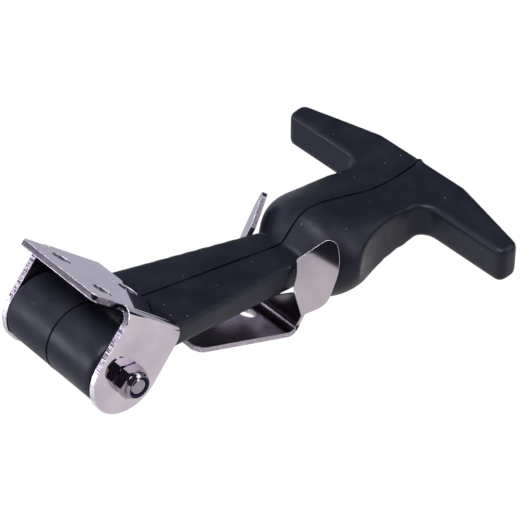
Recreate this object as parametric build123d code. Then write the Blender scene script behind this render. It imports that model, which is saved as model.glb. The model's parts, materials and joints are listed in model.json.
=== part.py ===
from build123d import *
from math import copysign, cos, hypot, pi, radians, sin, tan
import os

# Rubber T draw latch. It is drawn about its pivot, with +X towards the handle and +Z up,
# and each piece is then moved so that the origin lies on the anchor's mounting face.

# Sheet steel of the two brackets, and their screw holes
SHEET = 1.8
KEEPER_SHEET = 1.5
SCREW_HOLE = 5.5

# Anchor bracket: a folded channel whose flat goes on as a tongue
ANCHOR_TILT = 41.3              # the channel leans by this angle about the pivot
EAR_SPAN = 39.0                 # over the outer faces of the two ears
EAR_ROUND = 10.65               # round end of each ear about the pivot
FACE_HEIGHT = 16.73             # pivot to the mounting face
REAR_REACH = 10.2               # pivot to the flat's rear edge
ANCHOR_BEND = 2.0               # inside radius of the two folds
TONGUE_WIDTH = 30.8
TONGUE_REACH = 21.6             # pivot to the tongue's free edge
TONGUE_CORNER = 1.8
RELIEF = 0.5                    # radius of the notch beside each fold
FRONT_HOLE_REACH = 12.4
FRONT_HOLE_PITCH = 16.92
REAR_HOLE_REACH = 6.2

# Pivot: a bolt, its lock nut with a nylon ring, and the tube that the rubber turns on
BOLT_D = 5.0
BOLT_CHAMFER = 0.5
HEX_FLATS = 8.0
HEX_CHAMFER = 0.35
HEAD_HEIGHT = 3.5
NUT_HEIGHT = 4.9
NUT_HEX_HEIGHT = 3.5
NUT_TURN = 50.0                 # where the nut stopped
COLLAR_D = 7.4
COLLAR_EDGE = 0.5
RING_HEIGHT = 1.3
RING_D = 6.2
END_RECESS = 0.3                # bolt end below the collar's rim
SLEEVE_D = 8.0
RUN_FIT = 0.05                  # radial play of a shaft in its hole
SIDE_PLAY = 0.2                 # rubber eye to each ear

# Rubber eye and strap: lines of the strap's side view start level with the pivot
EYE_R = 10.2
EYE_X = -0.6                    # centre of the eye's round, off its bore
EYE_Z = 1.2
EYE_EDGE = 0.5
STRAP_TOP = 6.8
STRAP_TOP_SLOPE = -0.152
STRAP_UNDER = -0.6
STRAP_UNDER_SLOPE = -0.178
STRAP_SHOULDER = 0.2            # eye's end to the strap's side, at the pivot
STRAP_END_WIDTH = 17.4
STRAP_CROWN = 1.3               # middle of the top above its edges, at the pivot
CROWN_TAPER = -0.0125
STRAP_EDGE = 0.8
STRAP_LENGTH = 67.5

# The bulb, stem, bar and keeper are drawn from the middle of the strap's top at its end.

# Bulb: distance along, top, underside, width and squareness of each oval section.
# A squareness of 2 is an ellipse.
BULB_SECTIONS = [
    (-1.0, -0.2, -9.1, 17.0, 2.4),
    (1.7, 0.9, -12.6, 22.4, 2.1),
    (4.3, 3.8, -16.2, 27.2, 2.0),
    (7.7, 6.5, -18.8, 32.6, 2.0),
    (12.8, 7.3, -19.3, 36.2, 2.0),
    (18.7, 6.2, -17.4, 35.8, 2.1),
    (24.0, 4.8, -14.6, 36.4, 2.3),
    (30.4, 3.1, -11.8, 42.0, 3.0),
    (36.5, 2.0, -10.6, 48.0, 4.0),
    (43.5, 1.3, -9.8, 50.0, 4.0),
]
OVAL_POINTS = 16

# Stem: its upright sides, as distance along and half width
STEM_SIDE = [(12.1, 18.9), (16.1, 16.5), (22.2, 14.2), (29.5, 12.8)]
STEM_HALF = 12.6
STEM_FILLET = 5.5

# T bar
BAR_START = 30.5                # inside the stem
BAR_FRONT = 41.3
BAR_END_DEPTH = 6.4
BAR_DEPTH = 12.5
BAR_LENGTH = 87.8
BAR_SHOULDER = 26.9             # bar's end to the straight middle of its back
BAR_CORNER = 2.2
BAR_TOP = 1.7                   # at the bar's front, which is its lowest line
BAR_TOP_FALL = -0.08            # from the stem
BAR_TOP_RISE = 0.15             # to the back
BAR_TOP_ROUND = 25.0
BAR_UNDER = -9.1
BAR_UNDER_SLOPE = 0.1
BAR_EDGE = 1.6
BAR_UNDER_EDGE = 1.1
NUB_R = 0.9                     # moulding nub on the bar's back edge
NUB_RISE = 0.5

# Keeper: a flat base with two screw holes, bent up into a fork with two wings
KEEPER_SLOPE = 20.3             # fall of the base away from the pivot
KEEPER_LENGTH = 34.1            # base's free end to the fork's face, level
KEEPER_START_Z = -7.3           # top of the base at its free end
KEEPER_WIDTH = 25.4
KEEPER_CORNER = 3.0
KEEPER_BEND = 1.8               # inside radius
KEEPER_HOLE_REACH = 29.1        # along the base to the hole beside the bend
KEEPER_HOLE_PITCH = 17.0
FORK_BACK = 4.9                 # strap's end back to the fork's face
FORK_SHOULDER = -18.0           # where the fork starts to widen
NECK_PLAY = 0.3                 # rubber to the slot
SLOT_FLOOR = (4.0, -12.9)
SLOT_RISE = 0.9                 # the slot's mouth below the strap's under edge
FOLD_FOOT = (5.5, -13.0)        # ends of each wing's fold, out from the strap's side
FOLD_TOP = (2.55, -7.4)
WING_TURN = 52.0                # each wing is folded back by this
WING_BEND = 1.5                 # outside radius of the fold
# Wing outline, measured away from the fold and up along it from its foot
WING_THROAT = [(0.5, 8.4), (1.8, 10.5), (2.8, 12.8), (3.5, 15.4)]
WING_TIP = [(12.2, 18.1), (14.4, 17.4), (15.1, 15.0)]
WING_HEEL = [(13.3, 9.0), (10.2, 4.4), (7.2, 1.3), (3.7, 0.3)]

inner_span = EAR_SPAN - 2 * SHEET
eye_length = inner_span - 2 * SIDE_PLAY
strap_root_width = eye_length - 2 * STRAP_SHOULDER
tilt = radians(ANCHOR_TILT)
fall = radians(KEEPER_SLOPE)


def anchor_bracket():
    reach = EAR_ROUND + FACE_HEIGHT
    outside = Pos(0, FACE_HEIGHT - reach / 2) * Rectangle(EAR_SPAN, reach)
    outside = fillet(outside.vertices().group_by(Axis.Y)[-1], ANCHOR_BEND + SHEET)
    inside = Pos(0, FACE_HEIGHT - SHEET - reach / 2) * Rectangle(inner_span, reach)
    inside = fillet(inside.vertices().group_by(Axis.Y)[-1], ANCHOR_BEND)
    channel = extrude(Plane.YZ * (outside - inside), EAR_ROUND, both=True)

    flank = Polygon(
        (-EAR_ROUND, 0),
        (EAR_ROUND, 0),
        (REAR_REACH, FACE_HEIGHT),
        (-EAR_ROUND, FACE_HEIGHT),
        align=None,
    )
    bracket = channel & extrude(Plane.XZ * (Circle(EAR_ROUND) + flank), EAR_SPAN, both=True)

    tongue_length = TONGUE_REACH - EAR_ROUND / 2
    tongue = Rectangle(tongue_length, TONGUE_WIDTH)
    tongue = fillet(tongue.vertices().group_by(Axis.X)[0], TONGUE_CORNER)
    tongue = Pos(tongue_length / 2 - TONGUE_REACH, 0, FACE_HEIGHT) * tongue
    bracket += extrude(tongue, -SHEET)
    for side in (-1, 1):
        notch = Cylinder(RELIEF, 3 * SHEET)
        bracket -= Pos(-EAR_ROUND, side * (TONGUE_WIDTH / 2 + RELIEF), FACE_HEIGHT) * notch

    hole = Cylinder(SCREW_HOLE / 2, 3 * SHEET)
    for side in (-1, 1):
        bracket -= Pos(-FRONT_HOLE_REACH, side * FRONT_HOLE_PITCH / 2, FACE_HEIGHT) * hole
    bracket -= Pos(REAR_HOLE_REACH, 0, FACE_HEIGHT) * hole
    bracket -= Rot(90, 0, 0) * Cylinder(BOLT_D / 2 + RUN_FIT, 2 * EAR_SPAN)
    return Rot(0, ANCHOR_TILT, 0) * bracket


def hex_blank(height, chamfer_foot):
    # hexagon with its corners turned off at 30 degrees
    corner = HEX_FLATS / 2 / cos(radians(30))
    drop = (corner - HEX_FLATS / 2 + HEX_CHAMFER) * tan(radians(30))
    flat = HEX_FLATS / 2 - HEX_CHAMFER
    foot = drop if chamfer_foot else 0
    foot_flat = flat if chamfer_foot else corner
    turned = Polygon(
        (0, 0),
        (foot_flat, 0),
        (corner, foot),
        (corner, height - drop),
        (flat, height),
        (0, height),
        align=None,
    )
    prism = extrude(RegularPolygon(HEX_FLATS / 2, 6, major_radius=False), height)
    return prism & revolve(Plane.XZ * turned, Axis.Z)


def nut_side(piece, turn=0):
    # stands a piece drawn along +Z on the outer face of the nut's ear
    return Pos(0, -EAR_SPAN / 2, 0) * Rot(90, 0, 0) * Rot(0, 0, turn) * piece


def pivot_bolt():
    length = EAR_SPAN + NUT_HEIGHT - END_RECESS
    shank = extrude(Circle(BOLT_D / 2), length)
    shank = chamfer(shank.edges().group_by(Axis.Z)[-1], BOLT_CHAMFER)
    head = Rot(180, 0, 0) * hex_blank(HEAD_HEIGHT, False)
    return nut_side(Pos(0, 0, -EAR_SPAN) * (shank + head))


def pivot_lock_nut():
    collar = extrude(Circle(COLLAR_D / 2), NUT_HEIGHT)
    collar = chamfer(collar.edges().group_by(Axis.Z)[-1], COLLAR_EDGE)
    nut = hex_blank(NUT_HEX_HEIGHT, True) + collar
    nut -= extrude(Circle(BOLT_D / 2 + RUN_FIT), NUT_HEIGHT)
    nut -= Pos(0, 0, NUT_HEIGHT - RING_HEIGHT - END_RECESS) * extrude(Circle(RING_D / 2), NUT_HEIGHT)
    return nut_side(nut, NUT_TURN)


def nut_nylon_ring():
    ring = Circle(RING_D / 2 - RUN_FIT / 2) - Circle(BOLT_D / 2 + RUN_FIT / 2)
    return nut_side(Pos(0, 0, NUT_HEIGHT - RING_HEIGHT - END_RECESS) * extrude(ring, RING_HEIGHT))


def pivot_sleeve():
    wall = Circle(SLEEVE_D / 2) - Circle(BOLT_D / 2 + RUN_FIT)
    return extrude(Plane.XZ * wall, inner_span / 2, both=True)


def strap_half(x):
    return (strap_root_width + (STRAP_END_WIDTH - strap_root_width) * x / STRAP_LENGTH) / 2


def strap_top(x):
    return STRAP_TOP + STRAP_TOP_SLOPE * x


def strap_under(x):
    return STRAP_UNDER + STRAP_UNDER_SLOPE * x


def at_strap_end(piece):
    return Pos(STRAP_LENGTH, 0, strap_top(STRAP_LENGTH)) * piece


def strap_section(x):
    half = strap_half(x)
    top = strap_top(x)
    shoulder = top - STRAP_CROWN - CROWN_TAPER * x
    under = strap_under(x)
    crown = ThreePointArc((half, shoulder), (0, top), (-half, shoulder))
    walls = Polyline((-half, shoulder), (-half, under), (half, under), (half, shoulder))
    section = make_face(crown + walls)
    section = fillet(section.vertices().group_by(Axis.Y)[-1], STRAP_EDGE)
    section = chamfer(section.vertices().group_by(Axis.Y)[0], STRAP_EDGE)
    return Plane.YZ.offset(x) * section


def rubber_eye():
    eye = extrude(Plane.XZ * Circle(EYE_R), eye_length / 2, both=True)
    eye = chamfer(eye.edges().filter_by(GeomType.CIRCLE), EYE_EDGE)
    return Pos(EYE_X, 0, EYE_Z) * eye


def rubber_strap():
    return loft([strap_section(0), strap_section(STRAP_LENGTH)], ruled=True)


def oval(top, under, width, squareness):
    points = []
    for step in range(OVAL_POINTS):
        angle = 2 * pi * step / OVAL_POINTS
        y = copysign(abs(cos(angle)) ** (2 / squareness), cos(angle)) * width / 2
        z = copysign(abs(sin(angle)) ** (2 / squareness), sin(angle)) * (top - under) / 2
        points.append((y, z + (top + under) / 2))
    return make_face(Spline(*points, periodic=True))


def rubber_bulb():
    # the oval body, cut to upright sides behind its widest part
    ovals = [Plane.YZ.offset(x) * oval(*shape) for x, *shape in BULB_SECTIONS]
    start = BULB_SECTIONS[0][0]
    end = BULB_SECTIONS[-1][0]
    first = STEM_SIDE[0]
    side = Spline(*STEM_SIDE, (BAR_START + STEM_FILLET / 2, STEM_HALF), tangents=[(1, -0.6), (1, 0)])
    rest = Polyline(side @ 1, (end, STEM_HALF), (end, 0), (start, 0), (start, first[1]), first)
    plan = make_face(side + rest)
    plan += mirror(plan, Plane.XZ)
    return loft(ovals) & extrude(plan, BAR_LENGTH, both=True)


def corners_at(plan, x, half):
    # the pair of corners of a plan at this distance along and to each side
    return [v for v in plan.vertices() if abs(v.X - x) < 1e-6 and abs(abs(v.Y) - half) < 1e-6]


def bar_top(x):
    slope = BAR_TOP_FALL if x < BAR_FRONT else BAR_TOP_RISE
    return BAR_TOP + slope * (x - BAR_FRONT)


def bar_under(x):
    return BAR_UNDER + BAR_UNDER_SLOPE * (x - BAR_FRONT)


def bar_rims(bar, end_back, upper):
    # the edges round the bar's top or underside, without the ends of its rounded crest
    middle = (BAR_TOP + BAR_UNDER) / 2
    rims = bar.edges().filter_by(lambda edge: abs(edge.center().X - BAR_START) > 1e-3)
    rims = rims.filter_by(lambda edge: abs(edge.tangent_at(0.5).Z) < 0.5)
    rims = rims.filter_by(lambda edge: edge.length < BAR_LENGTH / 2 or edge.center().X > end_back)
    return rims.filter_by(lambda edge: (edge.center().Z > middle) == upper)


def rubber_bar():
    back = BAR_FRONT + BAR_DEPTH
    end_back = BAR_FRONT + BAR_END_DEPTH
    half = [
        (BAR_START, STEM_HALF),
        (BAR_FRONT, STEM_HALF),
        (BAR_FRONT, BAR_LENGTH / 2),
        (end_back, BAR_LENGTH / 2),
        (back, BAR_LENGTH / 2 - BAR_SHOULDER),
    ]
    other = [(x, -y) for x, y in reversed(half)]
    plan = Polygon(*half, *other, align=None)
    plan = fillet(corners_at(plan, BAR_FRONT, STEM_HALF), STEM_FILLET)
    plan = fillet(corners_at(plan, BAR_FRONT, BAR_LENGTH / 2), BAR_CORNER)
    plan = fillet(corners_at(plan, end_back, BAR_LENGTH / 2), BAR_CORNER)

    side = Polygon(
        (BAR_START, bar_top(BAR_START)),
        (BAR_FRONT, BAR_TOP),
        (back, bar_top(back)),
        (back, bar_under(back)),
        (BAR_START, bar_under(BAR_START)),
        align=None,
    )
    side = fillet([v for v in side.vertices() if abs(v.Y - BAR_TOP) < 1e-6], BAR_TOP_ROUND)
    depth = 2 * BAR_LENGTH
    bar = extrude(plan, depth, both=True) & extrude(Plane.XZ * side, depth, both=True)
    bar = fillet(bar_rims(bar, end_back, upper=True), BAR_EDGE)
    bar = chamfer(bar_rims(bar, end_back, upper=False), BAR_UNDER_EDGE)
    return bar + Pos(back - BAR_EDGE, 0, bar_top(back)) * Cylinder(NUB_R, 2 * NUB_RISE)


def strap_handle():
    rubber = rubber_eye() + rubber_strap() + at_strap_end(rubber_bulb() + rubber_bar())
    return rubber - Rot(90, 0, 0) * Cylinder(SLEEVE_D / 2 + RUN_FIT, 2 * EAR_SPAN)


def base_top(x):
    return KEEPER_START_Z - tan(fall) * (x + FORK_BACK + KEEPER_LENGTH)


def keeper_base():
    drop = KEEPER_SHEET / cos(fall)
    start = -FORK_BACK - KEEPER_LENGTH
    back = KEEPER_SHEET - FORK_BACK
    profile = Polygon(
        (start, KEEPER_START_Z),
        (-FORK_BACK, base_top(-FORK_BACK)),
        (-FORK_BACK, FORK_SHOULDER + KEEPER_SHEET),
        (back, FORK_SHOULDER + KEEPER_SHEET),
        (back, base_top(back) - drop),
        (start - KEEPER_SHEET * sin(fall), KEEPER_START_Z - KEEPER_SHEET * cos(fall)),
        align=None,
    )
    profile = fillet(profile.vertices().sort_by(Axis.Y)[1], KEEPER_BEND)
    profile = fillet(profile.vertices().sort_by(Axis.Y)[0], KEEPER_BEND + KEEPER_SHEET)
    base = extrude(Plane.XZ * profile, KEEPER_WIDTH / 2, both=True)
    end = base.edges().filter_by(lambda edge: edge.length < 1.01 * KEEPER_SHEET).group_by(Axis.X)[0]
    base = fillet(end, KEEPER_CORNER)
    hole = Cylinder(SCREW_HOLE / 2, 4 * KEEPER_SHEET)
    for reach in (KEEPER_HOLE_REACH, KEEPER_HOLE_REACH - KEEPER_HOLE_PITCH):
        x = start + reach * cos(fall)
        base -= Pos(x, 0, base_top(x)) * Rot(0, KEEPER_SLOPE, 0) * hole
    return base


def fold_ends():
    # foot and top of the wing's fold, as half width and height
    neck = strap_half(STRAP_LENGTH - FORK_BACK)
    return [(neck + out, height) for out, height in (FOLD_FOOT, FOLD_TOP)]


def keeper_fork():
    x = STRAP_LENGTH - FORK_BACK
    mouth = strap_under(x) - strap_top(STRAP_LENGTH) - SLOT_RISE
    foot, top = fold_ends()
    half = [
        (KEEPER_WIDTH / 2, FORK_SHOULDER),
        foot,
        top,
        (strap_half(x) + NECK_PLAY, mouth + NECK_PLAY),
        (strap_half(x) - NECK_PLAY, mouth),
        SLOT_FLOOR,
    ]
    other = [(-y, z) for y, z in reversed(half)]
    return extrude(Plane.YZ.offset(-FORK_BACK) * Polygon(*half, *other, align=None), KEEPER_SHEET)


def keeper_wing():
    # right wing: drawn flat, with its fold along the second axis, and turned back
    foot, top = fold_ends()
    rise = hypot(top[0] - foot[0], top[1] - foot[1])
    up = Vector(0, foot[0] - top[0], top[1] - foot[1]) / rise
    turn = radians(WING_TURN)
    away = Vector(sin(turn), -cos(turn) * up.Z, cos(turn) * up.Y)
    flat = Plane((-FORK_BACK, -foot[0], foot[1]), x_dir=away, z_dir=away.cross(up))
    outline = [
        Spline((0, rise), *WING_THROAT),
        Line(WING_THROAT[-1], WING_TIP[0]),
        ThreePointArc(*WING_TIP),
        Spline(WING_TIP[-1], *WING_HEEL, (0, 0)),
        Line((0, 0), (0, rise)),
    ]
    return extrude(flat * make_face(outline), -KEEPER_SHEET)


def keeper_bracket():
    wing = keeper_wing()
    keeper = keeper_base() + keeper_fork() + wing + mirror(wing, Plane.XZ)
    foot, top = fold_ends()
    y, z = (foot[0] + top[0]) / 2, (foot[1] + top[1]) / 2
    near = [Vector(-FORK_BACK, side * y, z) for side in (-1, 1)]
    folds = [e for e in keeper.edges() if min((e.center() - middle).length for middle in near) < 1e-3]
    return at_strap_end(fillet(folds, WING_BEND))


def mounting_point():
    # on the mounting face, midway between the two front holes
    x = FACE_HEIGHT * sin(tilt) - FRONT_HOLE_REACH * cos(tilt)
    z = FACE_HEIGHT * cos(tilt) + FRONT_HOLE_REACH * sin(tilt)
    return Vector(x, 0, z)


def main():
    pieces = {
        "anchor_bracket": anchor_bracket(),
        "pivot_bolt": pivot_bolt(),
        "pivot_lock_nut": pivot_lock_nut(),
        "nut_nylon_ring": nut_nylon_ring(),
        "pivot_sleeve": pivot_sleeve(),
        "strap_handle": strap_handle(),
        "keeper_bracket": keeper_bracket(),
    }
    os.makedirs("parts", exist_ok=True)
    for name, piece in pieces.items():
        export_step(Pos(-mounting_point()) * piece, f"parts/{name}.step")


main()
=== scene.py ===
import bmesh
import bpy
import json
from math import cos, radians, sin
from mathutils import Matrix, Vector
from mathutils.bvhtree import BVHTree


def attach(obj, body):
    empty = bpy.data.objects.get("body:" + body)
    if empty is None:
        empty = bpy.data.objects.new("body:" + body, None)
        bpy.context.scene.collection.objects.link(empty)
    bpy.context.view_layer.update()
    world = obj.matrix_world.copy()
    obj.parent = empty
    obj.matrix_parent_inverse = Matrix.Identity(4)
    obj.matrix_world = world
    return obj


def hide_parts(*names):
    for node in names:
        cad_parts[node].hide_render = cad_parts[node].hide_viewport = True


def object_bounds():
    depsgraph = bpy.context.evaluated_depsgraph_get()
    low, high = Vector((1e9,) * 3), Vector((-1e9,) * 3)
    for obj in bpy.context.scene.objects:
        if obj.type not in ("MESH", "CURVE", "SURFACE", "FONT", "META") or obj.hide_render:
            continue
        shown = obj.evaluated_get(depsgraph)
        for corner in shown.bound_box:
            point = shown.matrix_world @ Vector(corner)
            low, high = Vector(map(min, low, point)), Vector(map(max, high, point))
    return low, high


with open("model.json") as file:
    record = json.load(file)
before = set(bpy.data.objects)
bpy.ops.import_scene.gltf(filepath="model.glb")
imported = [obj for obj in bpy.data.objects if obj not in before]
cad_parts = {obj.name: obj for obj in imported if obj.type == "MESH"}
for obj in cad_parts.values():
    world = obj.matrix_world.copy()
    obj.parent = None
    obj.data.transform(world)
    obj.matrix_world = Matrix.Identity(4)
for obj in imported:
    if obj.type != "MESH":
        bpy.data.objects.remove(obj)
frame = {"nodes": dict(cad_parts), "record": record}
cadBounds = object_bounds()
mm = 0.001
white = (1, 1, 1, 1)
weldGap = 0.001 * mm
pivot = Vector(frame["record"]["behaviour"]["joints"][0]["pos_m"])


def hexColor(text):
    def linear(channel):
        value = int(channel, 16) / 255
        return value / 12.92 if value <= 0.04045 else ((value + 0.055) / 1.055) ** 2.4
    return (linear(text[0:2]), linear(text[2:4]), linear(text[4:6]), 1)


def addNode(tree, kind, inputs=(), **settings):
    node = tree.nodes.new("ShaderNode" + kind)
    for name, value in settings.items():
        setattr(node, name, value)
    for name, value in dict(inputs).items():
        if isinstance(value, bpy.types.Node):
            value = value.outputs[0]
        if isinstance(value, bpy.types.NodeSocket):
            tree.links.new(value, node.inputs[name])
        else:
            node.inputs[name].default_value = value
    return node


def emptyTree(owner):
    owner.use_nodes = True
    owner.node_tree.nodes.clear()
    return owner.node_tree


def dress(node, material):
    for slot in frame["nodes"][node].material_slots:
        slot.material = material


# Stainless steel sheet and fixings, pressed and tumble polished: a near mirror with a faint
# uneven haze, satin on the keeper's base, with painted shade darkening it. Sheared edges carry
# the punch's short dark lines across them, the plate's and ears' edges with painted shade
# darkening them too, and the broken corners round the plate, ears and wings carry a thin painted
# highlight rim.
steel = {
    "polished": {"colors": ("C3B9C2", "ADA5B0"), "reach": (0.35, 0.75), "size": 11 * mm,
                 "detail": 2.0, "depth": 0.001 * mm, "roughness": 0.02},
    "wing": {"colors": ("B3AAB1", "9E96A0"), "reach": (0.35, 0.75), "size": 9 * mm,
             "detail": 2.0, "depth": 0.001 * mm, "roughness": 0.02},
    # painted shade: colours far darker than steel stand in for the dim light and reflections round
    # the keeper's base beneath the strap
    "satin": {"colors": ("7D7680", "4C4750"), "reach": (0.35, 0.7), "size": 7 * mm,
              "detail": 5.0, "depth": 0.002 * mm, "roughness": 0.27},
    "fixing": {"colors": ("97909A", "857E88"), "reach": (0.35, 0.75), "size": 4 * mm,
               "detail": 3.0, "depth": 0.001 * mm, "roughness": 0.12},
    # painted shade: the plate's sheared edges are coloured darker than steel, standing in for the
    # dim reflection they show
    "shadedPlateEdge": {"colors": ("7A7481", "5E5964"), "reach": (0.4, 0.6), "size": 1.5 * mm,
                  "detail": 1.0, "depth": 0.003 * mm, "roughness": 0.16, "stretch": (1, 0.2, 1)},
    "holeWall": {"colors": ("A59DA8", "857E89"), "reach": (0.4, 0.6), "size": 1 * mm,
                 "detail": 1.0, "depth": 0.003 * mm, "roughness": 0.3},
    # the punch's dark ticks across the ears' sheared edges, on a tone darkened as painted shade
    "earEdgeTicksAndShade": {"colors": ("8F8793", "454049"), "reach": (0.44, 0.58), "size": 0.32 * mm,
                "detail": 2.0, "depth": 0.03 * mm, "roughness": 0.3, "stretch": (1, 0.12, 1)},
    "keeperEdge": {"colors": ("B4ABB6", "857D88"), "reach": (0.44, 0.58), "size": 0.32 * mm,
                   "detail": 2.0, "depth": 0.03 * mm, "roughness": 0.3, "stretch": (1, 0.12, 1)},
    # painted highlight: a near white colour on the broken corners draws their thin bright rim
    "paintedHighlightRim": {"colors": ("EEE8F0", "C9C1CB"), "reach": (0.4, 0.6), "size": 1 * mm,
            "detail": 2.0, "depth": 0.01 * mm, "roughness": 0.55},
}


def steelShader(tree, place, look):
    stretch = look.get("stretch", (1, 1, 1))
    grainPlace = addNode(tree, "VectorMath", {0: place, 1: stretch}, operation="MULTIPLY")
    grain = addNode(tree, "TexNoise", {"Vector": grainPlace, "Scale": 1 / look["size"],
                                       "Detail": look["detail"]})
    amount = addNode(tree, "MapRange", {"Value": grain, "From Min": look["reach"][0],
                                        "From Max": look["reach"][1]})
    tint = addNode(tree, "Mix", {"Factor": amount, "A": hexColor(look["colors"][0]),
                                 "B": hexColor(look["colors"][1])}, data_type="RGBA")
    bump = addNode(tree, "Bump", {"Height": grain, "Strength": 1.0, "Distance": look["depth"]})
    return addNode(tree, "BsdfPrincipled", {
        "Metallic": 1.0, "Base Color": tint.outputs["Result"], "Roughness": look["roughness"],
        "Normal": bump})


def steelMaterial(name, look, findParts=None):
    material = bpy.data.materials.new(name)
    tree = emptyTree(material)
    coords = addNode(tree, "TexCoord")
    place = coords.outputs["Object"]
    surface = steelShader(tree, place, steel[look])
    for part, mask in (findParts(tree, coords) if findParts else ()):
        other = steelShader(tree, place, steel[part])
        surface = addNode(tree, "MixShader", {"Fac": mask, 1: surface, 2: other})
    addNode(tree, "OutputMaterial", {"Surface": surface})
    return material


corners = {
    "width": {"anchor_bracket": 0.2 * mm, "keeper_bracket": 0.1 * mm},
    "segments": 3,
    "flatAngle": radians(0.6),      # neighbours turned less than this are one flat face
    "sharpAngle": radians(40),      # edges sharper than this are broken
    "largeFaces": 100,              # flat faces keep their own normals
    "stray": 0.15 * mm,             # no broken corner may end further than this from the sheet
}


def breakCorners(node):
    sheet = frame["nodes"][node]
    weld = sheet.modifiers.new("Weld", "WELD")
    weld.merge_threshold = weldGap
    flat = sheet.modifiers.new("Flat", "DECIMATE")
    flat.decimate_type = "DISSOLVE"
    flat.angle_limit = corners["flatAngle"]
    corner = sheet.modifiers.new("Corner", "BEVEL")
    corner.width = corners["width"][node]
    corner.segments = corners["segments"]
    corner.use_clamp_overlap = False
    corner.loop_slide = False
    corner.limit_method = "ANGLE"
    corner.angle_limit = corners["sharpAngle"]
    even = sheet.modifiers.new("Even", "WEIGHTED_NORMAL")
    even.weight = corners["largeFaces"]
    # where a corner has no room for its bevel it would throw out a spike, so it is held back
    surface = BVHTree.FromPolygons([v.co for v in sheet.data.vertices],
                                   [face.vertices[:] for face in sheet.data.polygons])
    shown = sheet.evaluated_get(bpy.context.evaluated_depsgraph_get()).data
    corner.use_clamp_overlap = any(surface.find_nearest(v.co)[3] > corners["stray"]
                                   for v in shown.vertices)


def allOf(tree, tests):
    # 1 where every test holds: value, LESS_THAN or GREATER_THAN, limit
    result = None
    for value, way, limit in tests:
        test = addNode(tree, "Math", {0: value, 1: limit}, operation=way)
        if result is None:
            result = test
        else:
            result = addNode(tree, "Math", {0: result, 1: test}, operation="MULTIPLY")
    return result


def anyOf(tree, found):
    result = found[0]
    for other in found[1:]:
        result = addNode(tree, "Math", {0: result, 1: other}, operation="MAXIMUM")
    return result


def facing(tree, vector, direction):
    # 1 where the vector lies along the direction, either way round
    along = addNode(tree, "VectorMath", {0: vector, 1: direction}, operation="DOT_PRODUCT")
    return addNode(tree, "Math", {0: along.outputs["Value"]}, operation="ABSOLUTE")


anchor = {
    "plateLook": (0.6600, 0, 0.7513),    # the way the flat's face looks
    "alongLook": (0.7513, 0, -0.6600),   # and its ends
    "tongueHalf": 15.65 * mm,
    "sheet": 1.9 * mm,              # just over the sheet's thickness
    "bendDepth": 3.9 * mm,          # below the fold, where the ears are flat
    "holeReach": 3.6 * mm,
    "endOn": 0.7,                   # cosine to the flat's length above which a face is its end
    "edgeOn": 0.5,                  # cosine to the sheet's face below which it is a sheared edge
    "rimTurn": (0.15, 0.985),       # a broken corner's cosines to the sheet's face
    "rimAlong": 0.1,
    "holes": [Vector(mount["pos_m"]) for mount in frame["record"]["mounts"]
              if mount["kind"] == "bore" and mount["name"].startswith("anchor")],
}


def anchorParts(tree, coords):
    normal, place = coords.outputs["Normal"], coords.outputs["Object"]
    plate = facing(tree, normal, anchor["plateLook"])
    along = facing(tree, normal, anchor["alongLook"])
    outward = facing(tree, normal, (0, 1, 0))
    side = facing(tree, place, (0, 1, 0))
    depth = facing(tree, place, anchor["plateLook"])
    inEars = (depth, "GREATER_THAN", anchor["bendDepth"])
    offPlate = (plate, "LESS_THAN", anchor["edgeOn"])
    rimLow, rimHigh = anchor["rimTurn"]
    # the plate's sheared edges, where painted shade darkens the steel
    shadedPlateEdge = anyOf(tree, [
        allOf(tree, [(along, "GREATER_THAN", anchor["endOn"])]),
        allOf(tree, [(depth, "LESS_THAN", anchor["sheet"]),
                     (side, "LESS_THAN", anchor["tongueHalf"]), offPlate]),
    ])
    # the ears' sheared edges: real punch ticks, with painted shade darkening their tone
    earEdgeTicksAndShade = allOf(tree, [inEars, (outward, "LESS_THAN", anchor["edgeOn"])])
    fromHoles = [addNode(tree, "VectorMath", {0: place, 1: hole}, operation="DISTANCE")
                 for hole in anchor["holes"]]
    holeWall = anyOf(tree, [
        allOf(tree, [(reach.outputs["Value"], "LESS_THAN", anchor["holeReach"]), offPlate])
        for reach in fromHoles])
    # painted highlight rim on the broken corners of the plate and ears
    paintedHighlightRim = anyOf(tree, [
        allOf(tree, [(plate, "GREATER_THAN", rimLow), (plate, "LESS_THAN", rimHigh),
                     (along, "GREATER_THAN", anchor["rimAlong"])]),
        allOf(tree, [(outward, "GREATER_THAN", rimLow), (outward, "LESS_THAN", rimHigh), inEars]),
    ])
    return [("shadedPlateEdge", shadedPlateEdge), ("earEdgeTicksAndShade", earEdgeTicksAndShade), ("holeWall", holeWall), ("paintedHighlightRim", paintedHighlightRim)]


keeper = {
    "baseLook": (0.3469, 0, 0.9379),     # the way the base's face looks
    "wingLook": (-0.616, 0.697, 0.367),  # and a wing's
    "baseTo": 60.6 * mm,            # where the base, fork, wings and bend start or end
    "forkFrom": 59.3 * mm,
    "wingFrom": 60.3 * mm,
    "bendFrom": 57.9 * mm,
    "bendTop": -40.5 * mm,
    "rimFrom": -31.5 * mm,
    "baseOn": 0.9,                  # cosines above which a face is the sheet's own, not its edge
    "faceOn": 0.88,
    "bendOn": 0.3,                  # cosine to the side below which the bend is sheet
    "rimTurn": (0.15, 0.985),
}


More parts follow.
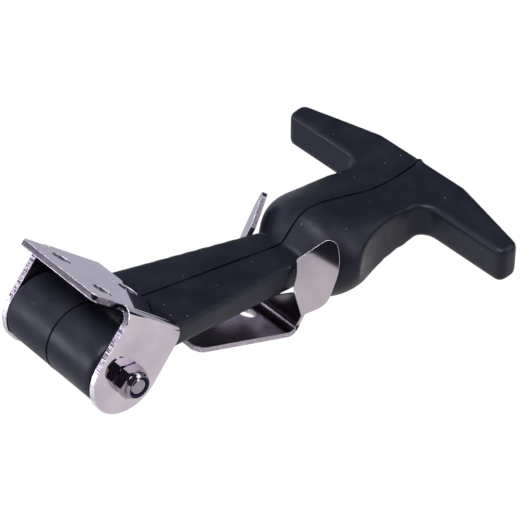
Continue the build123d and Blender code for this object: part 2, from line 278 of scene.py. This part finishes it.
def keeperParts(tree, coords):
    normal, place = coords.outputs["Normal"], coords.outputs["Object"]
    spot = addNode(tree, "SeparateXYZ", {"Vector": place})
    side = addNode(tree, "Math", {0: spot.outputs["Y"]}, operation="SIGN")
    mirrorIn = addNode(tree, "CombineXYZ", {"X": 1.0, "Y": side, "Z": 1.0})
    sameSide = addNode(tree, "VectorMath", {0: normal, 1: mirrorIn}, operation="MULTIPLY")
    base = facing(tree, normal, keeper["baseLook"])
    fork = facing(tree, normal, (1, 0, 0))
    wing = facing(tree, sameSide, keeper["wingLook"])
    outward = facing(tree, normal, (0, 1, 0))
    x, z = spot.outputs["X"], spot.outputs["Z"]
    onWing = (x, "GREATER_THAN", keeper["wingFrom"])
    rimLow, rimHigh = keeper["rimTurn"]
    sheetFaces = anyOf(tree, [
        allOf(tree, [(base, "GREATER_THAN", keeper["baseOn"]), (x, "LESS_THAN", keeper["baseTo"])]),
        allOf(tree, [(fork, "GREATER_THAN", keeper["faceOn"]),
                     (x, "GREATER_THAN", keeper["forkFrom"])]),
        allOf(tree, [(wing, "GREATER_THAN", keeper["faceOn"]), onWing]),
        allOf(tree, [(outward, "LESS_THAN", keeper["bendOn"]),
                     (x, "GREATER_THAN", keeper["bendFrom"]), (z, "LESS_THAN", keeper["bendTop"])]),
    ])
    edge = addNode(tree, "Math", {0: 1.0, 1: sheetFaces}, operation="SUBTRACT")
    wingFace = allOf(tree, [(wing, "GREATER_THAN", keeper["faceOn"]), onWing])
    # everything off the wing faces takes the satin finish, with its painted shade
    satin = addNode(tree, "Math", {0: 1.0, 1: wingFace}, operation="SUBTRACT")
    # painted highlight rim on the broken corners round the wings
    paintedHighlightRim = allOf(tree, [(wing, "GREATER_THAN", rimLow), (wing, "LESS_THAN", rimHigh), onWing,
                       (z, "GREATER_THAN", keeper["rimFrom"])])
    return [("satin", satin), ("keeperEdge", edge), ("paintedHighlightRim", paintedHighlightRim)]


print("steel")
dress("anchor_bracket", steelMaterial("PolishedStainlessAnchor", "polished", anchorParts))
dress("keeper_bracket", steelMaterial("PolishedStainlessKeeper", "wing", keeperParts))
for node in corners["width"]:
    breakCorners(node)
turnedSteel = steelMaterial("PolishedStainlessFixings", "fixing")
for node in ("pivot_bolt", "pivot_lock_nut", "pivot_sleeve"):
    dress(node, turnedSteel)

# Black moulded rubber: a satin skin with a blue cast, faint grain, a few pale specks of dust
# and a parting line down the middle, painted near black as the shade along it.
rubber = {
    "color": "161822",
    "bloomColor": "25262F",
    "sheenTint": "D0D0E4",
    "speckColor": "84858F",
    "roughness": (0.34, 0.5),
    "specular": 0.26,
    "grainSize": 0.5 * mm,          # coarser than the mould's own grain, so that it shows
    "grainDepth": 0.02 * mm,
    "rippleSize": 5 * mm,
    "rippleDepth": 0.05 * mm,
    "detail": 3.0,
    "cloudSize": 9 * mm,
    "cloudDetail": 6.0,
    "cloudRoughness": 0.6,
    "bloomReach": (0.4, 0.75),      # the part of the cloud that shows as bloom
    "bloomMost": 0.4,
    "satinReach": (0.35, 0.65),
    "speckSpacing": 3.6 * mm,
    "speckReach": 0.038,
}
seam = {
    # painted shade: near black and almost without shine, standing in for the shade along the raised
    # strip
    "color": "020203",
    "specular": 0.02,
    "half": 0.25 * mm,
    "rise": 0.09 * mm,
    "proud": 0.02 * mm,
    "boreReach": 5 * mm,
    "joinGap": 0.1 * mm,
}
skin = {
    "cell": 0.6 * mm,
    "boreReach": 4.6 * mm,
    "rate": 0.5,
    "softening": 5,
    "blend": 40,                    # more softening where the stem runs into the bar
    "blendFrom": 94 * mm,
    "blendTo": 109 * mm,
    "blendHalf": 12 * mm,
    "blendAbove": -24 * mm,
}


def rubberMaterial(name, color, specular):
    material = bpy.data.materials.new(name)
    tree = emptyTree(material)
    place = addNode(tree, "TexCoord").outputs["Object"]
    grain = addNode(tree, "TexNoise", {"Vector": place, "Scale": 1 / rubber["grainSize"],
                                       "Detail": rubber["detail"]})
    ripple = addNode(tree, "TexNoise", {"Vector": place, "Scale": 1 / rubber["rippleSize"],
                                        "Detail": rubber["detail"]})
    cloud = addNode(tree, "TexNoise", {"Vector": place, "Scale": 1 / rubber["cloudSize"],
                                       "Detail": rubber["cloudDetail"],
                                       "Roughness": rubber["cloudRoughness"]})
    specks = addNode(tree, "TexVoronoi", {"Vector": place, "Scale": 1 / rubber["speckSpacing"]})
    speck = addNode(tree, "Math", {0: specks, 1: rubber["speckReach"]}, operation="LESS_THAN")
    bloom = addNode(tree, "MapRange", {"Value": cloud, "From Min": rubber["bloomReach"][0],
                                       "From Max": rubber["bloomReach"][1],
                                       "To Max": rubber["bloomMost"]})
    tint = addNode(tree, "Mix", {"Factor": bloom, "A": hexColor(color),
                                 "B": hexColor(rubber["bloomColor"])}, data_type="RGBA")
    tint = addNode(tree, "Mix", {"Factor": speck, "A": tint.outputs["Result"],
                                 "B": hexColor(rubber["speckColor"])}, data_type="RGBA")
    satin = addNode(tree, "MapRange", {"Value": cloud, "From Min": rubber["satinReach"][0],
                                       "From Max": rubber["satinReach"][1],
                                       "To Min": rubber["roughness"][0],
                                       "To Max": rubber["roughness"][1]})
    soft = addNode(tree, "Bump", {"Height": ripple, "Strength": 1.0,
                                  "Distance": rubber["rippleDepth"]})
    bump = addNode(tree, "Bump", {"Height": grain, "Strength": 1.0,
                                  "Distance": rubber["grainDepth"], "Normal": soft})
    skinShader = addNode(tree, "BsdfPrincipled", {
        "Base Color": tint.outputs["Result"], "Roughness": satin, "Specular IOR Level": specular,
        "Specular Tint": hexColor(rubber["sheenTint"]), "Normal": bump})
    addNode(tree, "OutputMaterial", {"Surface": skinShader})
    return material


def addPiece(name, form):
    mesh = bpy.data.meshes.new(name)
    form.to_mesh(mesh)
    form.free()
    piece = bpy.data.objects.new(name, mesh)
    bpy.context.collection.objects.link(piece)
    return piece


def addHandle():
    # the moulding's skin in even cells, softened a little, and more where the stem meets the bar
    form = bmesh.new()
    form.from_mesh(frame["nodes"]["strap_handle"].data)
    bmesh.ops.remove_doubles(form, verts=form.verts, dist=weldGap)
    piece = addPiece("RubberHandle", form)
    cells = piece.modifiers.new("Cells", "REMESH")
    cells.mode = "VOXEL"
    cells.voxel_size = skin["cell"]
    view = bpy.context.evaluated_depsgraph_get()
    even = bpy.data.meshes.new_from_object(piece.evaluated_get(view))
    piece.modifiers.clear()
    form = bmesh.new()
    form.from_mesh(even)
    outer = [v for v in form.verts
             if Vector((v.co.x - pivot.x, v.co.z - pivot.z)).length > skin["boreReach"]]
    joint = [v for v in form.verts
             if skin["blendFrom"] < v.co.x < skin["blendTo"]
             and abs(v.co.y) < skin["blendHalf"] and v.co.z > skin["blendAbove"]]
    for verts, rounds in ((outer, skin["softening"]), (joint, skin["blend"])):
        for _ in range(rounds):
            bmesh.ops.smooth_vert(form, verts=verts, factor=skin["rate"], use_axis_x=True,
                                  use_axis_y=True, use_axis_z=True)
    form.to_mesh(even)
    form.free()
    even.shade_smooth()
    piece.data = even
    even.materials.clear()
    even.materials.append(rubberMaterial("MouldedRubber", rubber["color"], rubber["specular"]))
    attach(piece, "strap")
    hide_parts("strap_handle")
    return piece


def fixOrder(form):
    # one order of edges and faces, so that every run writes the same mesh
    form.verts.index_update()
    count = len(form.verts)

    def rank(part):
        first, second = sorted(v.index for v in part.verts)[:2]
        return first * count + second
    form.edges.sort(key=rank)
    form.faces.sort(key=rank)


def addSeam(handle):
    # the mould's parting line: a fine raised strip where the middle plane cuts the skin
    form = bmesh.new()
    form.from_mesh(handle.data)
    everything = form.verts[:] + form.edges[:] + form.faces[:]
    bmesh.ops.bisect_plane(form, geom=everything, plane_co=(0, 0, 0), plane_no=(0, 1, 0),
                           dist=weldGap, clear_inner=True, clear_outer=True)
    inBore = [v for v in form.verts if (v.co - pivot).length < seam["boreReach"]]
    bmesh.ops.delete(form, geom=inBore, context="VERTS")
    bmesh.ops.remove_doubles(form, verts=form.verts, dist=seam["joinGap"])
    # at the two ends the strip stands only its "proud" outside the moulding's box
    inside = seam["rise"] - seam["proud"]
    for v in form.verts:
        v.co.x = min(max(v.co.x, cadBounds[0][0] + inside), cadBounds[1][0] - inside)
    bmesh.ops.translate(form, verts=form.verts, vec=(0, -seam["half"], 0))
    strip = bmesh.ops.extrude_edge_only(form, edges=form.edges)["geom"]
    moved = [v for v in strip if isinstance(v, bmesh.types.BMVert)]
    bmesh.ops.translate(form, verts=moved, vec=(0, 2 * seam["half"], 0))
    bmesh.ops.recalc_face_normals(form, faces=form.faces)
    fixOrder(form)
    piece = addPiece("PartingSeam", form)
    wall = piece.modifiers.new("Wall", "SOLIDIFY")
    wall.thickness = 2 * seam["rise"]
    wall.offset = 0
    # the strip's near black colour is painted shade
    piece.data.materials.append(rubberMaterial("RubberSeamPaintedShade", seam["color"], seam["specular"]))
    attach(piece, "strap")


print("rubber")
addSeam(addHandle())

# Dark blue dyed nylon of the nut's locking ring, slightly matte
nylon = {
    "color": "0D0E3C",
    "roughness": 0.45,
    "specular": 0.2,
    "grainSize": 0.4 * mm,          # coarser than the real grain, so that it shows
    "grainDepth": 0.015 * mm,
    "detail": 2.0,
}


def nylonMaterial():
    material = bpy.data.materials.new("DyedNylon")
    tree = emptyTree(material)
    place = addNode(tree, "TexCoord").outputs["Object"]
    grain = addNode(tree, "TexNoise", {"Vector": place, "Scale": 1 / nylon["grainSize"],
                                       "Detail": nylon["detail"]})
    bump = addNode(tree, "Bump", {"Height": grain, "Strength": 1.0,
                                  "Distance": nylon["grainDepth"]})
    ring = addNode(tree, "BsdfPrincipled", {
        "Base Color": hexColor(nylon["color"]), "Roughness": nylon["roughness"],
        "Specular IOR Level": nylon["specular"], "Normal": bump})
    addNode(tree, "OutputMaterial", {"Surface": ring})
    return material


print("nylon")
dress("nut_nylon_ring", nylonMaterial())

camera = {
    "azimuth": radians(-40.64),
    "elevation": radians(38.32),
    "aim": pivot + Vector((55, 0, 0)) * mm,
    "distance": 629.6 * mm,
    "slide": 4.24 * mm,
    "lift": -1.80 * mm,
    "lens": 162.68,
    "sensor": 36,
}


def addCamera():
    turn, tip = camera["azimuth"], camera["elevation"]
    back = Vector((sin(turn) * cos(tip), -cos(turn) * cos(tip), sin(tip)))
    right = Vector((cos(turn), sin(turn), 0))
    up = back.cross(right)
    data = bpy.data.cameras.new("Camera")
    data.lens = camera["lens"]
    data.sensor_width = camera["sensor"]
    eye = bpy.data.objects.new("Camera", data)
    bpy.context.collection.objects.link(eye)
    spot = (camera["aim"] + back * camera["distance"] + right * camera["slide"]
            + up * camera["lift"])
    turned = Matrix((right, up, back)).transposed().to_4x4()
    eye.matrix_world = Matrix.Translation(spot) @ turned
    bpy.context.scene.camera = eye


print("camera")
addCamera()

# A pale table in a dark room with one pale wall and a window, which the polished faces mirror
studio = {
    "floorDrop": 2 * mm,
    "floorHalf": 1.5,
    "floorColor": "BDBCC6",
    "shadedFarFloor": "C2C4D4",           # painted shade: the floor behind the object, darker and bluer as polished faces show it, standing in for the object's shadow on the table
    "shadedFarFloorReach": (-20 * mm, 45 * mm),
    "roomColor": "22232E",
    "ceilingColor": "4A4C5C",
    "wallLevel": 0.0554,            # where the pale wall ends and the dark room starts
    "wallSlope": -0.563,
    "wallSide": (0.79, -0.61, 0),
    "wallSoftness": 0.0002,
    "windowLook": (0.76, -0.58, 0.22),
    "windowReach": (0.93, 0.975),
    "windowColor": "C9C2C8",
}
lamps = {
    "TopBox": {"spot": (-0.35, 0.0, 0.82), "size": (0.8, 0.4), "power": 10, "tint": "FFFFFF"},
    "LeftBox": {"spot": (-0.8, 0.6, 0.17), "size": (0.5, 0.26), "power": 4, "tint": "F4F2FF"},
    "HighBox": {"spot": (0.45, -0.35, 0.75), "size": (0.4, 0.5), "power": 2.2,
                "tint": "FFFFFF"},
    "RightBox": {"spot": (0.5, -0.8, 0.5), "size": (0.4, 0.6), "power": 3, "tint": "FFFFFF"},
}


def seenDirectly(tree):
    rays = addNode(tree, "LightPath")
    seen = anyOf(tree, [rays.outputs[kind]
                        for kind in ("Is Camera Ray", "Is Glossy Ray", "Is Transmission Ray")])
    return rays, seen


def addFloor():
    low = cadBounds[0][2] - studio["floorDrop"]
    flat = bmesh.new()
    bmesh.ops.create_grid(flat, x_segments=1, y_segments=1, size=studio["floorHalf"])
    bmesh.ops.translate(flat, verts=flat.verts, vec=(0, 0, low))
    mesh = bpy.data.meshes.new("Floor")
    flat.to_mesh(mesh)
    flat.free()
    floor = bpy.data.objects.new("Floor", mesh)
    bpy.context.collection.objects.link(floor)
    material = bpy.data.materials.new("PaleFloor")
    tree = emptyTree(material)
    spot = addNode(tree, "SeparateXYZ", {"Vector": addNode(tree, "TexCoord").outputs["Object"]})
    # painted shade: reflections see the floor grow darker and bluer behind the object
    farShade = addNode(tree, "MapRange", {"Value": spot.outputs["Y"],
                                     "From Min": studio["shadedFarFloorReach"][0],
                                     "From Max": studio["shadedFarFloorReach"][1]})
    rays, seen = seenDirectly(tree)
    farShade = addNode(tree, "Math", {0: farShade, 1: rays.outputs["Is Glossy Ray"]}, operation="MULTIPLY")
    shade = addNode(tree, "Mix", {"Factor": farShade, "A": white, "B": hexColor(studio["shadedFarFloor"])},
                    data_type="RGBA")
    pale = addNode(tree, "Emission", {"Color": shade.outputs["Result"], "Strength": 1.0})
    matte = addNode(tree, "BsdfDiffuse", {"Color": hexColor(studio["floorColor"])})
    both = addNode(tree, "MixShader", {"Fac": seen, 1: matte, 2: pale})
    addNode(tree, "OutputMaterial", {"Surface": both})
    mesh.materials.append(material)


def addWorld():
    world = bpy.data.worlds.new("Studio")
    bpy.context.scene.world = world
    tree = emptyTree(world)
    look = addNode(tree, "TexCoord").outputs["Generated"]
    height = addNode(tree, "SeparateXYZ", {"Vector": look}).outputs["Z"]
    room = addNode(tree, "Mix", {"Factor": height, "A": hexColor(studio["roomColor"]),
                                 "B": hexColor(studio["ceilingColor"])}, data_type="RGBA")
    side = addNode(tree, "VectorMath", {0: look, 1: studio["wallSide"]}, operation="DOT_PRODUCT")
    level = addNode(tree, "Math", {0: side.outputs["Value"], 1: studio["wallSlope"],
                                   2: studio["wallLevel"]}, operation="MULTIPLY_ADD")
    under = addNode(tree, "Math", {0: level, 1: height}, operation="SUBTRACT")
    wall = addNode(tree, "MapRange", {"Value": under, "From Min": -studio["wallSoftness"],
                                      "From Max": studio["wallSoftness"]})
    toWindow = addNode(tree, "VectorMath", {0: look, 1: studio["windowLook"]},
                       operation="DOT_PRODUCT")
    window = addNode(tree, "MapRange", {"Value": toWindow.outputs["Value"],
                                        "From Min": studio["windowReach"][0],
                                        "From Max": studio["windowReach"][1]})
    room = addNode(tree, "Mix", {"Factor": window, "A": room.outputs["Result"],
                                 "B": hexColor(studio["windowColor"])}, data_type="RGBA")
    room = addNode(tree, "Mix", {"Factor": wall, "A": room.outputs["Result"], "B": white},
                   data_type="RGBA")
    rays = addNode(tree, "LightPath")
    seen = addNode(tree, "Mix", {"Factor": rays.outputs["Is Camera Ray"],
                                 "A": room.outputs["Result"], "B": white}, data_type="RGBA")
    sky = addNode(tree, "Background", {"Color": seen.outputs["Result"], "Strength": 1.0})
    addNode(tree, "OutputWorld", {"Surface": sky})


def addLamp(name, lamp):
    data = bpy.data.lights.new(name, "AREA")
    data.shape = "RECTANGLE"
    data.size, data.size_y = lamp["size"]
    data.energy = lamp["power"]
    data.color = hexColor(lamp["tint"])[:3]
    box = bpy.data.objects.new(name, data)
    bpy.context.collection.objects.link(box)
    box.location = camera["aim"] + Vector(lamp["spot"])
    aimed = (camera["aim"] - box.location).to_track_quat("-Z", "Y")
    box.rotation_euler = aimed.to_euler()


print("studio")
addFloor()
addWorld()
for name, lamp in lamps.items():
    addLamp(name, lamp)
bpy.context.scene.view_settings.view_transform = "Standard"
